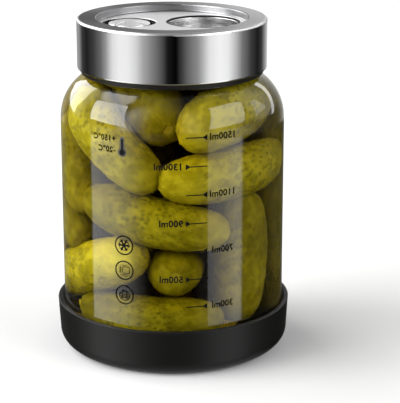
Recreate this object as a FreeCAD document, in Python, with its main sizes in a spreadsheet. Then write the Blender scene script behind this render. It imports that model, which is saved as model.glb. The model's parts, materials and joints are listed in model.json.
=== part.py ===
import FreeCAD, Part
import math
import os
import Sketcher

# A fermentation jar: a wide glass jar that stands in a soft black cup and is
# filled with brine, under a steel screw lid that carries a turning vent and a
# dished plug. Sizes are in millimetres. The origin is the middle of the face
# that the jar stands on, with +Z up, and -Y is the side with the volume marks.

doc = FreeCAD.newDocument("fermentation_jar")
sheet = doc.addObject("Spreadsheet::Sheet", "sizes")


class Size:
    """A length from the sheet, or worked out from it: its number and its formula."""

    def __init__(self, number, formula):
        self.number = number
        self.formula = formula

    def __add__(self, other):
        return Size(self.number + other.number, f"({self.formula} + {other.formula})")

    def __sub__(self, other):
        return Size(self.number - other.number, f"({self.formula} - {other.formula})")

    def __mul__(self, other):
        return Size(self.number * other.number, f"({self.formula} * {other.formula})")

    def __truediv__(self, other):
        return Size(self.number / other.number, f"({self.formula} / {other.formula})")


def root(size):
    return Size(math.sqrt(size.number), f"sqrt({size.formula})")


def sine(size):
    return Size(math.sin(math.radians(size.number)), f"sin({size.formula})")


def cosine(size):
    return Size(math.cos(math.radians(size.number)), f"cos({size.formula})")


sheet_rows = []


def size(alias, number, note):
    """Write one driving size into the sheet and hand it back."""
    sheet_rows.append(alias)
    row = len(sheet_rows)
    sheet.set(f"A{row}", alias)
    sheet.set(f"B{row}", str(number))
    sheet.setAlias(f"B{row}", alias)
    sheet.set(f"C{row}", note)
    return Size(number, f"sizes.{alias}")


ZERO = Size(0.0, "0")
TWO = Size(2.0, "2")

# Glass jar
body_radius = size("body_radius", 65.0, "outside of the glass body")
glass_height = size("glass_height", 187.1, "from the heel to the rim")
glass_wall = size("glass_wall", 2.8, "thickness of the blown wall")
glass_floor = size("glass_floor", 9.0, "thickness of the bottom")
heel_round = size("heel_round", 8.0, "outside rounding at the heel")
floor_round = size("floor_round", 8.0, "inside rounding at the floor")
shoulder_rise = size("shoulder_rise", 25.2, "height of the shoulder's arc")
neck_radius = size("neck_radius", 50.0, "outside of the neck")
rim_round = size("rim_round", 1.0, "rounding of the rim's two edges")

# Base cup
cup_floor = size("cup_floor", 5.0, "thickness under the glass")
cup_wall = size("cup_wall", 3.65, "thickness at the lip")
cup_height = size("cup_height", 27.4, "height of the lip")
cup_draft = size("cup_draft", 1.05, "how much the side narrows towards the foot")
cup_corner = size("cup_corner", 8.8, "outside rounding at the foot")
cup_lip_round = size("cup_lip_round", 0.5, "rounding of the lip's outer edge")
cup_lip_width = size("cup_lip_width", 1.7, "flat part of the lip")
cup_bevel = size("cup_bevel", 1.2, "height of the bevel between lip and glass")
cup_clearance = size("cup_clearance", 0.2, "play between glass and cup")

# Brine
head_space = size("head_space", 20.0, "from the glass rim down to the brine")
brine_clearance = size("brine_clearance", 0.1, "play between brine and glass wall")

# Lid shell
sheet_gauge = size("sheet_gauge", 0.8, "thickness of the steel sheet")
skirt_height = size("skirt_height", 28.7, "outside height of the lid")
lid_edge_round = size("lid_edge_round", 1.6, "rounding of the top edge")
well_depth = size("well_depth", 4.3, "how far the panel is sunk")
well_edge_round = size("well_edge_round", 0.8, "rounding at the top of the well")
well_foot_round = size("well_foot_round", 1.0, "rounding at the foot of the well")
well_clearance = size("well_clearance", 3.0, "room between well and glass mouth")
hole_web = size("hole_web", 8.1, "panel left between the two holes")
hole_edge_round = size("hole_edge_round", 0.3, "rounding of the holes' top edges")

# Liner: the threaded sleeve inside the lid, with the seal at its top
liner_wall = size("liner_wall", 3.4, "thickness of the sleeve")
liner_seat = size("liner_seat", 1.6, "thickness of the seal on the glass rim")
liner_drop = size("liner_drop", 2.9, "how far it shows below the skirt")
liner_taper = size("liner_taper", 1.2, "how much it narrows where it shows")
liner_clearance = size("liner_clearance", 0.2, "play between sleeve and skirt")
neck_clearance = size("neck_clearance", 0.4, "play between sleeve and neck")
shoulder_gap = size("shoulder_gap", 0.9, "from the sleeve down to the shoulder")

# Vent
vent_hole = size("vent_hole", 15.6, "radius of the vent's hole in the panel")
vent_margin = size("vent_margin", 1.38, "panel left outside the vent's hole")
vent_turn = size("vent_turn", 166.3, "angle of the vent round the lid")
vent_clearance = size("vent_clearance", 0.1, "play between vent cup and hole")
vent_wall = size("vent_wall", 1.0, "thickness of the vent cup")
vent_depth = size("vent_depth", 6.5, "from the panel down to the vent cup's floor")
vent_flange = size("vent_flange", 1.6, "width of the flange under the panel")
vent_sink = size("vent_sink", 0.2, "how far the vent cup lies under the panel")
post_radius = size("post_radius", 2.6, "radius of the post under the knob")
knob_gap = size("knob_gap", 3.5, "from the knob to the edge of the hole")
knob_thickness = size("knob_thickness", 3.0, "height of the knob's edge")
knob_sink = size("knob_sink", 0.2, "how far the knob's edge lies under the panel")
knob_crown = size("knob_crown", 1.6, "rise of the knob's domed top")
knob_edge_round = size("knob_edge_round", 0.6, "rounding of the knob's edge")
knob_turn = size("knob_turn", 8.0, "how far the knob is turned")
notch_start = size("notch_start", 3.2, "from the knob's middle to its notches")
notch_inner = size("notch_inner", 1.2, "width of a notch at its inner end")
notch_outer = size("notch_outer", 3.6, "width of a notch at the knob's edge")

# Plug and its seal
plug_margin = size("plug_margin", 0.93, "panel left outside the plug's hole")
plug_turn = size("plug_turn", 24.4, "angle of the plug round the lid")
seal_wall = size("seal_wall", 0.9, "thickness of the seal")
seal_clearance = size("seal_clearance", 0.1, "play on each side of the seal")
seal_sink = size("seal_sink", 0.1, "how far the seal lies under the panel")
seal_flange = size("seal_flange", 1.6, "width of the flange under the panel")
seal_ledge = size("seal_ledge", 4.0, "width of the ledge that carries the plug")
seal_floor = size("seal_floor", 1.2, "thickness of flange and ledge")
plug_sink = size("plug_sink", 0.9, "how far the plug's rim lies under the panel")
plug_gauge = size("plug_gauge", 0.7, "thickness of the plug's steel")
plug_depth = size("plug_depth", 9.0, "depth of the dish")
plug_corner = size("plug_corner", 3.0, "inside rounding at the dish's floor")

# Heights and radii that follow from the sizes above
glass_base = cup_floor
glass_rim = glass_base + glass_height
lid_top = glass_rim + liner_seat + sheet_gauge
skirt_bottom = lid_top - skirt_height
liner_bottom = skirt_bottom - liner_drop
neck_start = liner_bottom - shoulder_gap
shoulder_start = neck_start - shoulder_rise
shoulder_step = body_radius - neck_radius
shoulder_radius = (shoulder_step * shoulder_step + shoulder_rise * shoulder_rise) / (shoulder_step * TWO)
cup_inside = body_radius + cup_clearance
cup_outside = cup_inside + cup_wall
brine_level = glass_rim - head_space
sleeve_inside = neck_radius + neck_clearance
sleeve_outside = sleeve_inside + liner_wall
lid_inside = sleeve_outside + liner_clearance
lid_radius = lid_inside + sheet_gauge
well_outside = neck_radius - glass_wall - well_clearance
well_radius = well_outside - sheet_gauge
panel_top = lid_top - well_depth
panel_under = panel_top - sheet_gauge
panel_radius = well_radius - well_foot_round
plug_hole = panel_radius - vent_hole - (plug_margin + vent_margin + hole_web) / TWO
vent_offset = panel_radius - vent_margin - vent_hole
plug_offset = panel_radius - plug_margin - plug_hole
vent_x = vent_offset * cosine(vent_turn)
vent_y = vent_offset * sine(vent_turn)
plug_x = plug_offset * cosine(plug_turn)
plug_y = plug_offset * sine(plug_turn)
doc.recompute()

LEFT = 1
RIGHT = -1


def new_body(name):
    body = doc.addObject("PartDesign::Body", name)
    body.Label = name
    return body


def own_plane(body, role):
    for feature in body.Origin.OriginFeatures:
        if feature.Role == role:
            return feature
    raise ValueError(f"{body.Label} has no {role}")


def new_sketch(body, name, role):
    sketch = body.newObject("Sketcher::SketchObject", name)
    sketch.AttachmentSupport = [(own_plane(body, role), "")]
    sketch.MapMode = "FlatFace"
    return sketch


def arc_centre(start, end, radius, turn):
    """Centre of the shorter arc from start to end that curves to the left or right."""
    chord_x = end[0] - start[0]
    chord_y = end[1] - start[1]
    chord = math.hypot(chord_x, chord_y)
    reach = turn * math.sqrt(max(radius * radius - chord * chord / 4, 0.0)) / chord
    return (start[0] + end[0]) / 2 - chord_y * reach, (start[1] + end[1]) / 2 + chord_x * reach


def add_edge(sketch, start, end, bend):
    """Add a line or an arc; the result is the edge's index and its two end codes."""
    if bend is None:
        line = Part.LineSegment(FreeCAD.Vector(*start, 0), FreeCAD.Vector(*end, 0))
        return sketch.addGeometry(line, False), 1, 2
    radius, turn = bend
    centre = arc_centre(start, end, radius.number, turn)
    first = math.atan2(start[1] - centre[1], start[0] - centre[0])
    last = math.atan2(end[1] - centre[1], end[0] - centre[0])
    circle = Part.Circle(FreeCAD.Vector(*centre, 0), FreeCAD.Vector(0, 0, 1), radius.number)
    if turn == LEFT:
        return sketch.addGeometry(Part.ArcOfCircle(circle, first, last), False), 1, 2
    return sketch.addGeometry(Part.ArcOfCircle(circle, last, first), False), 2, 1


def bind(sketch, constraint, formula):
    index = sketch.addConstraint(constraint)
    sketch.setExpression(f"Constraints[{index}]", formula)


def pin_point(sketch, edge, end, x, y):
    """Hold one point of an edge at its distances from the two axes."""
    if x is ZERO:
        sketch.addConstraint(Sketcher.Constraint("PointOnObject", edge, end, -2))
    else:
        bind(sketch, Sketcher.Constraint("DistanceX", -1, 1, edge, end, x.number), x.formula)
    if y is ZERO:
        sketch.addConstraint(Sketcher.Constraint("PointOnObject", edge, end, -1))
    else:
        bind(sketch, Sketcher.Constraint("DistanceY", -1, 1, edge, end, y.number), y.formula)


def draw_outline(sketch, corners):
    """Draw a closed outline. A corner is (x, y), or (x, y, radius, turn) before an arc."""
    count = len(corners)
    points = [(corner[0].number, corner[1].number) for corner in corners]
    edges = []
    for index, corner in enumerate(corners):
        bend = corner[2:] or None
        edges.append(add_edge(sketch, points[index], points[(index + 1) % count], bend))
    for index, corner in enumerate(corners):
        edge, start, end = edges[index]
        following, following_start, _ = edges[(index + 1) % count]
        sketch.addConstraint(Sketcher.Constraint("Coincident", edge, end, following, following_start))
        pin_point(sketch, edge, start, corner[0], corner[1])
        if len(corner) > 2:
            bind(sketch, Sketcher.Constraint("Radius", edge, corner[2].number), corner[2].formula)


def turned(body, name, corners):
    """Turn an outline of radii and heights all the way round the body's Z axis."""
    sketch = new_sketch(body, f"{name}_outline", "XZ_Plane")
    draw_outline(sketch, corners)
    solid = body.newObject("PartDesign::Revolution", f"{name}_turned")
    solid.Profile = sketch
    solid.ReferenceAxis = (sketch, ["V_Axis"])
    solid.Angle = 360.0
    sketch.Visibility = False
    body.Tip = solid
    doc.recompute()
    return solid


def cut_through(body, name, draw):
    """Cut a sketch on the body's XY plane right through the solid, both ways."""
    before = body.Shape.Volume
    sketch = new_sketch(body, f"{name}_outline", "XY_Plane")
    draw(sketch)
    pocket = body.newObject("PartDesign::Pocket", name)
    pocket.Profile = sketch
    pocket.Type = "ThroughAll"
    pocket.Midplane = True
    sketch.Visibility = False
    body.Tip = pocket
    doc.recompute()
    if body.Shape.Volume >= before:
        raise ValueError(f"{name} cut nothing")
    return pocket


def place(body, x, y, turn=None):
    """Set a body that was made round the Z axis at its place on the lid."""
    body.setExpression("Placement.Base.x", x.formula)
    body.setExpression("Placement.Base.y", y.formula)
    if turn is not None:
        body.Placement.Rotation = FreeCAD.Rotation(FreeCAD.Vector(0, 0, 1), turn.number)
        body.setExpression("Placement.Rotation.Angle", turn.formula)
    doc.recompute()


def shoulder_arc(inset):
    """The shoulder's start, radius and end, drawn a given distance inside the glass."""
    radius = shoulder_radius - inset
    centre = body_radius - shoulder_radius
    reach = neck_radius - inset - centre
    top = shoulder_start + root(radius * radius - reach * reach)
    return body_radius - inset, radius, neck_radius - inset, top


def make_glass_jar():
    """Blown jar: flat bottom, rounded heel, straight side, domed shoulder, plain neck."""
    outer, outer_radius, neck, neck_foot = shoulder_arc(ZERO)
    inner, inner_radius, mouth, mouth_foot = shoulder_arc(glass_wall)
    floor = glass_base + glass_floor
    body = new_body("glass_jar")
    turned(body, "glass_jar", [
        (ZERO, glass_base),
        (outer - heel_round, glass_base, heel_round, LEFT),
        (outer, glass_base + heel_round),
        (outer, shoulder_start, outer_radius, LEFT),
        (neck, neck_foot),
        (neck, glass_rim - rim_round, rim_round, LEFT),
        (neck - rim_round, glass_rim),
        (mouth + rim_round, glass_rim, rim_round, LEFT),
        (mouth, glass_rim - rim_round),
        (mouth, mouth_foot, inner_radius, RIGHT),
        (inner, shoulder_start),
        (inner, floor + floor_round, floor_round, RIGHT),
        (inner - floor_round, floor),
        (ZERO, floor),
    ])
    return body


def make_brine():
    """The brine fills the jar from its floor to its level in the neck."""
    side, side_radius, throat, throat_foot = shoulder_arc(glass_wall + brine_clearance)
    floor = glass_base + glass_floor
    body = new_body("brine")
    turned(body, "brine", [
        (ZERO, floor),
        (side - floor_round, floor, floor_round, LEFT),
        (side, floor + floor_round),
        (side, shoulder_start, side_radius, LEFT),
        (throat, throat_foot),
        (throat, brine_level),
        (ZERO, brine_level),
    ])
    return body


def make_base_cup():
    """Soft cup: rounded foot, side that widens upwards, flat lip, bevel to the glass."""
    lip_outer = cup_outside - cup_lip_round
    lip_inner = lip_outer - cup_lip_width
    side = cup_outside - cup_draft
    body = new_body("base_cup")
    turned(body, "base_cup", [
        (ZERO, ZERO),
        (side - cup_corner, ZERO, cup_corner, LEFT),
        (side, cup_corner),
        (cup_outside, cup_height - cup_lip_round, cup_lip_round, LEFT),
        (lip_outer, cup_height),
        (lip_inner, cup_height),
        (cup_inside, cup_height - cup_bevel),
        (cup_inside, cup_floor + heel_round, heel_round, RIGHT),
        (cup_inside - heel_round, cup_floor),
        (ZERO, cup_floor),
    ])
    return body


def round_holes(body, holes):
    """Round the top edges of the holes, which lie in the panel's upper face."""
    edges = []
    for number, edge in enumerate(body.Shape.Edges, start=1):
        box = edge.BoundBox
        flat = abs(box.ZMax - panel_top.number) < 1e-4 and box.ZLength < 1e-4
        if flat and any(abs(box.XLength / 2 - hole.number) < 1e-4 for hole in holes):
            edges.append(f"Edge{number}")
    if len(edges) != len(holes):
        raise ValueError("a hole's top edge was not found")
    cut_panel = body.Tip
    fillet = body.newObject("PartDesign::Fillet", "hole_edges")
    fillet.Base = (cut_panel, edges)
    fillet.setExpression("Radius", hole_edge_round.formula)
    body.Tip = fillet
    doc.recompute()


def make_lid_shell():
    """Pressed steel lid: skirt, flat top ring, sunk panel, a hole for vent and plug."""

    def draw_holes(sketch):
        for x, y, radius in ((vent_x, vent_y, vent_hole), (plug_x, plug_y, plug_hole)):
            centre = FreeCAD.Vector(x.number, y.number, 0)
            circle = Part.Circle(centre, FreeCAD.Vector(0, 0, 1), radius.number)
            index = sketch.addGeometry(circle, False)
            pin_point(sketch, index, 3, x, y)
            bind(sketch, Sketcher.Constraint("Radius", index, radius.number), radius.formula)

    body = new_body("lid_shell")
    turned(body, "lid_shell", [
        (ZERO, panel_under),
        (panel_radius, panel_under, well_foot_round + sheet_gauge, LEFT),
        (well_outside, panel_top + well_foot_round),
        (well_outside, lid_top - sheet_gauge),
        (lid_radius - lid_edge_round, lid_top - sheet_gauge, lid_edge_round - sheet_gauge, RIGHT),
        (lid_inside, lid_top - lid_edge_round),
        (lid_inside, skirt_bottom, sheet_gauge, LEFT),
        (lid_radius, skirt_bottom + sheet_gauge),
        (lid_radius, lid_top - lid_edge_round, lid_edge_round, LEFT),
        (lid_radius - lid_edge_round, lid_top),
        (well_radius + well_edge_round, lid_top, well_edge_round, LEFT),
        (well_radius, lid_top - well_edge_round),
        (well_radius, panel_top + well_foot_round, well_foot_round, RIGHT),
        (panel_radius, panel_top),
        (ZERO, panel_top),
    ])
    cut_through(body, "panel_holes", draw_holes)
    round_holes(body, (vent_hole, plug_hole))
    return body


def make_lid_liner():
    """Black sleeve inside the skirt, with the seal that the lid rests on at its top."""
    seal_top = lid_top - sheet_gauge
    seal_inside = well_outside + liner_clearance
    tip = sleeve_outside - liner_taper
    body = new_body("lid_liner")
    turned(body, "lid_liner", [
        (sleeve_inside, liner_bottom),
        (tip - liner_clearance, liner_bottom),
        (tip, liner_bottom + liner_clearance),
        (sleeve_outside, skirt_bottom + liner_clearance),
        (sleeve_outside, seal_top - lid_edge_round),
        (sleeve_outside - lid_edge_round, seal_top),
        (seal_inside, seal_top),
        (seal_inside, glass_rim),
        (sleeve_inside, glass_rim),
    ])
    return body


def make_vent_cup():
    """Black cup under the vent's hole, with a flange below the panel and a post."""
    outside = vent_hole - vent_clearance
    inside = outside - vent_wall
    floor_top = panel_top - vent_depth
    flange_outside = outside + vent_flange
    rim = panel_top - vent_sink
    post_top = panel_top - knob_sink - knob_thickness
    body = new_body("vent_cup")
    turned(body, "vent_cup", [
        (ZERO, floor_top - vent_wall),
        (outside, floor_top - vent_wall),
        (outside, panel_under - vent_wall),
        (flange_outside, panel_under - vent_wall),
        (flange_outside, panel_under),
        (outside, panel_under),
        (outside, rim),
        (inside, rim),
        (inside, floor_top),
        (post_radius, floor_top),
        (post_radius, post_top),
        (ZERO, post_top),
    ])
    place(body, vent_x, vent_y)
    return body


def make_vent_knob():
    """Domed steel knob on the post, with four notches that let the gas out."""
    notch_count = 4
    radius = vent_hole - knob_gap
    under = panel_top - knob_sink - knob_thickness
    edge_top = panel_top - knob_sink
    edge = radius - knob_edge_round
    crown = (edge * edge + knob_crown * knob_crown) / (knob_crown * TWO)
    body = new_body("vent_knob")
    turned(body, "vent_knob", [
        (ZERO, under),
        (radius, under),
        (radius, edge_top - knob_edge_round, knob_edge_round, LEFT),
        (edge, edge_top, crown, LEFT),
        (ZERO, edge_top + knob_crown),
    ])

    def draw_notch(sketch):
        half_inner = notch_inner / TWO
        half_outer = notch_outer / TWO
        reach = radius + knob_gap / TWO
        draw_outline(sketch, [
            (notch_start, ZERO - half_inner),
            (reach, ZERO - half_outer),
            (reach, half_outer),
            (notch_start, half_inner, notch_inner, LEFT),
        ])

    notch = cut_through(body, "gas_notch", draw_notch)
    solid_volume = body.Shape.Volume
    pattern = body.newObject("PartDesign::PolarPattern", "gas_notches")
    pattern.Originals = [notch]
    pattern.Axis = (own_plane(body, "Z_Axis"), [""])
    pattern.Angle = 360.0
    pattern.Occurrences = notch_count
    body.Tip = pattern
    doc.recompute()
    if body.Shape.Volume >= solid_volume:
        raise ValueError("the notches were not repeated")
    half_pitch = Size(180.0 / notch_count, f"(180 / {notch_count})")
    place(body, vent_x, vent_y, knob_turn + half_pitch)
    return body


def make_plug_seal():
    """Black sleeve between plug and panel, with a ledge that carries the plug."""
    outside = plug_hole - seal_clearance
    inside = outside - seal_wall
    ledge = panel_top - plug_sink - plug_depth - plug_gauge
    flange_outside = outside + seal_flange
    body = new_body("plug_seal")
    turned(body, "plug_seal", [
        (inside - seal_ledge, ledge - seal_floor),
        (outside, ledge - seal_floor),
        (outside, panel_under - seal_floor),
        (flange_outside, panel_under - seal_floor),
        (flange_outside, panel_under),
        (outside, panel_under),
        (outside, panel_top - seal_sink),
        (inside, panel_top - seal_sink),
        (inside, ledge),
        (inside - seal_ledge, ledge),
    ])
    place(body, plug_x, plug_y)
    return body


def make_plug_cup():
    """Pressed steel dish that plugs the larger hole; a finger fits into it."""
    outside = plug_hole - seal_clearance - seal_wall - seal_clearance
    inside = outside - plug_gauge
    rim = panel_top - plug_sink
    rim_edge = plug_gauge / TWO
    floor_top = rim - plug_depth
    outer_corner = plug_corner + plug_gauge
    body = new_body("plug_cup")
    turned(body, "plug_cup", [
        (ZERO, floor_top - plug_gauge),
        (inside - plug_corner, floor_top - plug_gauge, outer_corner, LEFT),
        (outside, floor_top + plug_corner),
        (outside, rim - rim_edge, rim_edge, LEFT),
        (outside - rim_edge, rim, rim_edge, LEFT),
        (inside, rim - rim_edge),
        (inside, floor_top + plug_corner, plug_corner, RIGHT),
        (inside - plug_corner, floor_top),
        (ZERO, floor_top),
    ])
    place(body, plug_x, plug_y)
    return body


pieces = [
    make_glass_jar(),
    make_brine(),
    make_base_cup(),
    make_lid_shell(),
    make_lid_liner(),
    make_vent_cup(),
    make_vent_knob(),
    make_plug_seal(),
    make_plug_cup(),
]

doc.recompute()
for item in doc.Objects:
    if "Invalid" in item.State or "Error" in item.State:
        raise ValueError(f"{item.Label} failed to build")
for piece in pieces:
    if piece.Shape.isNull() or not piece.Shape.isValid() or len(piece.Shape.Solids) != 1:
        raise ValueError(f"{piece.Label} is not one valid solid")

os.makedirs("parts", exist_ok=True)
for piece in pieces:
    piece.Shape.exportStep(f"parts/{piece.Label}.step")
    print(f"{piece.Label}: {piece.Shape.Volume / 1000:.2f} cm3, {piece.Shape.BoundBox}")
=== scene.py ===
import json
import bmesh
import bpy
import numpy as np
from math import cos, hypot, pi, radians, sin
from mathutils import Matrix, Vector

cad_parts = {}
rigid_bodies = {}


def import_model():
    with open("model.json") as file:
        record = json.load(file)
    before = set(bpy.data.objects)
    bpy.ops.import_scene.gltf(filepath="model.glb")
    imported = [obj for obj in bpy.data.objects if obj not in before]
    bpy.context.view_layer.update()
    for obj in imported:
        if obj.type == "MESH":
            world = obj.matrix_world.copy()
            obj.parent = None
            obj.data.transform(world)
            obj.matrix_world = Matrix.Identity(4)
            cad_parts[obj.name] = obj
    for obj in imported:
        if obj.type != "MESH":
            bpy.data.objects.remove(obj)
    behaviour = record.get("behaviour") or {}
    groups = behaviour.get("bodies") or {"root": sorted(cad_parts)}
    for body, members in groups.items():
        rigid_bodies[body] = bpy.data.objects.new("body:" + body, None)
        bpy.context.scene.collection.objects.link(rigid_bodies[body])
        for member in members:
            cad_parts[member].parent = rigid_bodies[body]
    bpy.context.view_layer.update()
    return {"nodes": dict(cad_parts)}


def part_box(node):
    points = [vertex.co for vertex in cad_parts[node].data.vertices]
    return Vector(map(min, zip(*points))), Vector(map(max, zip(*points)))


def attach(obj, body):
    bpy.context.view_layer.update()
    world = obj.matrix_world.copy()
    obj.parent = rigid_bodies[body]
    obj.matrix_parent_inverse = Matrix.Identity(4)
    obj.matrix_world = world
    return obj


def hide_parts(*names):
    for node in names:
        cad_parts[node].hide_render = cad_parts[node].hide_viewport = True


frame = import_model()
cad = frame["nodes"]
scene = bpy.context.scene
scene.view_settings.view_transform = "Standard"


# Camera: a long lens a little above the lid, looking slightly down at the front of the jar. It stands nearly
# a metre away, so that the upright sides of the jar stay almost parallel.
camera_data = bpy.data.cameras.new("camera")
camera_data.lens = 142.9
camera_data.sensor_width = 36
camera = bpy.data.objects.new("camera", camera_data)
camera.location = (0, -0.909, 0.3502)
camera.rotation_euler = (radians(73.68), 0, radians(-1.01))
scene.collection.objects.link(camera)
scene.camera = camera


# Studio: a white room seen by the camera, and for light and reflections a ring of soft boxes, dark gaps
# and grey walls that runs round the jar, with a dim ceiling above it.
def add_node(tree, kind, **settings):
    made = tree.nodes.new(kind)
    for key, value in settings.items():
        setattr(made, key, value)
    return made


def feed(tree, socket, value):
    """Links another node's socket to this one, or sets it to a plain value. None leaves it alone."""
    if isinstance(value, bpy.types.NodeSocket):
        tree.links.new(value, socket)
    elif value is not None:
        socket.default_value = value


def work_out(tree, operation, first, second=None, third=None):
    made = add_node(tree, "ShaderNodeMath", operation=operation)
    for place, value in enumerate((first, second, third)):
        feed(tree, made.inputs[place], value)
    return made.outputs[0]


def times(tree, first, *others):
    for other in others:
        first = work_out(tree, "MULTIPLY", first, other)
    return first


def parts_of(tree, vector):
    made = add_node(tree, "ShaderNodeSeparateXYZ")
    feed(tree, made.inputs[0], vector)
    return made.outputs[0], made.outputs[1], made.outputs[2]


def ease(tree, value, low, high, at_low=0.0, at_high=1.0):
    """Rises softly from 0 to 1 while the value goes from low to high, which may lie either way round."""
    made = add_node(tree, "ShaderNodeMapRange", interpolation_type="SMOOTHSTEP")
    for place, part in enumerate((value, low, high, at_low, at_high)):
        feed(tree, made.inputs[place], part)
    return made.outputs[0]


def ramp(tree, value, stops):
    made = add_node(tree, "ShaderNodeValToRGB")
    elements = made.color_ramp.elements
    while len(elements) < len(stops):
        elements.new(0.5)
    for element, (place, colour) in zip(elements, sorted(stops)):
        element.position = place
        element.color = (*colour, 1)
    feed(tree, made.inputs[0], value)
    return made.outputs[0]


def blend_numbers(tree, share, first, second):
    made = add_node(tree, "ShaderNodeMix", data_type="FLOAT")
    feed(tree, made.inputs["Factor"], share)
    feed(tree, made.inputs["A"], first)
    feed(tree, made.inputs["B"], second)
    return made.outputs["Result"]


world = bpy.data.worlds.new("studio")
scene.world = world
world.use_nodes = True
sky = world.node_tree
sky.nodes.clear()
direction = add_node(sky, "ShaderNodeTexCoord").outputs["Generated"]
to_right, to_back, height = parts_of(sky, direction)
turn = work_out(sky, "ARCTAN2", to_right, times(sky, to_back, -1))
share_round = work_out(sky, "MULTIPLY_ADD", turn, 1 / (2 * pi), 0.5)
brightest = 4


def ring_of_light(levels):
    """Light that changes round the horizon: (degrees to the right of the camera's side, brightness)."""
    stops = [(degree / 360 + 0.5, (level / brightest,) * 3) for degree, level in levels]
    return times(sky, ramp(sky, share_round, stops), brightest)


def toward(right, up):
    right, up = radians(right), radians(up)
    return Vector((sin(right) * cos(up), -cos(right) * cos(up), sin(up)))


def window_light(corners, level, soft):
    """A flat light whose corners (degrees right, degrees up) are named round its edge, with a soft rim."""
    points = [toward(*corner) for corner in corners]
    middle = sum(points, Vector())
    lit = level
    for first, second in zip(points, points[1:] + points[:1]):
        edge = first.cross(second).normalized()
        if edge.dot(middle) < 0:
            edge.negate()
        side = add_node(sky, "ShaderNodeVectorMath", operation="DOT_PRODUCT")
        sky.links.new(direction, side.inputs[0])
        side.inputs[1].default_value = edge
        lit = times(sky, ease(sky, side.outputs["Value"], 0.0, soft), lit)
    return lit


# what the table top mirrors, what stands at eye level, and what stands higher up
low_ring = ring_of_light([
    (-180, 0.2), (-150, 0.1), (-138, 0.0), (-92, 0.0), (-91, 2.6), (-76, 2.6), (-60, 2.2), (-50, 1.6),
    (-42, 0.95), (-34, 0.35), (-27, 0.05), (-20, 0.0), (20, 0.0), (35.5, 0.15), (36.5, 1.5), (56, 2.0),
    (68, 2.5), (74, 2.3), (77, 0.05), (82, 0.0), (150, 0.0), (179.9, 0.2),
])
level_ring = ring_of_light([
    (-180, 0.4), (-151, 0.4), (-138, 0.06), (-124, 0.02), (-108, 0.07), (-95, 0.2), (-86, 0.45), (-76, 1.12),
    (-66, 1.35), (-54, 1.32), (-44, 1.05), (-35, 0.6), (-25, 0.36), (-15, 0.17), (-6, 0.015), (5, 0.0),
    (12, 0.08), (20, 0.23), (30, 0.4), (37, 0.7), (45, 1.2), (58, 1.42), (70, 1.3), (82, 0.75),
    (92, 0.28), (108, 0.07), (124, 0.015), (137, 0.06), (150, 0.4), (176, 1.0), (179.9, 1.0),
])
high_ring = ring_of_light([
    (-180, 0.1), (-176, 0.2), (-166, 0.4), (-146, 0.3), (-138, 1.1), (-116, 0.9), (-108, 0.2), (-62, 0.3),
    (-50, 3.6), (-42, 2.7), (-34, 1.3), (-27, 0.2), (-20, 0.02), (4, 0.02), (12, 0.5), (20, 0.9), (32, 0.4),
    (44, 0.3), (90, 0.3), (98, 0.9), (130, 0.8), (140, 0.3), (160, 0.6), (172, 1.0), (177, 0.8),
    (179.9, 0.1),
])
ceiling, underside = 0.2, 0.6
# where each band of light passes into the next, as the sine of the angle up
low_to_level, level_to_high = (-0.234, -0.222), (0.0, 0.12)
high_to_ceiling, low_to_underside = (0.62, 0.92), (-0.62, -0.78)
room_light = blend_numbers(sky, ease(sky, height, *low_to_level), low_ring, level_ring)
room_light = blend_numbers(sky, ease(sky, height, *level_to_high), room_light, high_ring)
room_light = blend_numbers(sky, ease(sky, height, *high_to_ceiling), room_light, ceiling)
room_light = blend_numbers(sky, ease(sky, height, *low_to_underside), room_light, underside)
# windows and soft boxes: corners, brightness and how softly the rim fades
for corners, level, soft in (
    (((-93, 10), (-47, 10), (-67, 53), (-110, 37)), 8.2, 0.02),
    (((36, 8), (78, 10), (101, 42), (53, 53)), 3.8, 0.02),
    (((-160, 6), (-121, 3), (-122, 28), (-150, 44)), 4.6, 0.02),
    (((94, 10), (119, 13), (115, 31), (106, 34)), 2.4, 0.02),
    (((121, 0), (129, 0), (153, 24), (149, 32)), 3.6, 0.02),
    (((-146, 42), (-106, 36), (-70, 44), (-66, 60), (-96, 72), (-134, 70)), 4.7, 0.12),
):
    room_light = work_out(sky, "MAXIMUM", room_light, window_light(corners, level, soft))
room = add_node(sky, "ShaderNodeBackground")
feed(sky, room.inputs["Color"], room_light)
white = add_node(sky, "ShaderNodeBackground")
white.inputs["Color"].default_value = (1, 1, 1, 1)
rays = add_node(sky, "ShaderNodeLightPath")
seen = work_out(sky, "MAXIMUM", rays.outputs["Is Camera Ray"], rays.outputs["Is Transmission Ray"])
both = add_node(sky, "ShaderNodeMixShader")
for place, value in enumerate((seen, room.outputs[0], white.outputs[0])):
    feed(sky, both.inputs[place], value)
sky.links.new(both.outputs[0], add_node(sky, "ShaderNodeOutputWorld").inputs["Surface"])


# Floor: a plain white sheet of paper that the jar stands on and that runs out of sight on every side. It
# isn't part of the jar and is there for the soft shadow alone.
def new_mesh(name, points, faces):
    mesh = bpy.data.meshes.new(name)
    mesh.from_pydata(points, [], faces)
    mesh.update()
    made = bpy.data.objects.new(name, mesh)
    scene.collection.objects.link(made)
    return made


def new_finish(name, colour, roughness, **values):
    made = bpy.data.materials.new(name)
    made.use_nodes = True
    shader = made.node_tree.nodes["Principled BSDF"]
    shader.inputs["Base Color"].default_value = (*colour, 1)
    shader.inputs["Roughness"].default_value = roughness
    for key, value in values.items():
        shader.inputs[key.replace("_", " ")].default_value = value
    return made


def give_finish(part, *finishes):
    part.data.materials.clear()
    for finish in finishes:
        part.data.materials.append(finish)


reach = 5
sheet_corners = [(-reach, -reach, 0), (reach, -reach, 0), (reach, reach, 0), (-reach, reach, 0)]
floor = new_mesh("floor", sheet_corners, [(0, 1, 2, 3)])
give_finish(floor, new_finish("floor_white", (0.71, 0.71, 0.71), 0.9, Specular_IOR_Level=0.0))
floor.visible_glossy = False


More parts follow.
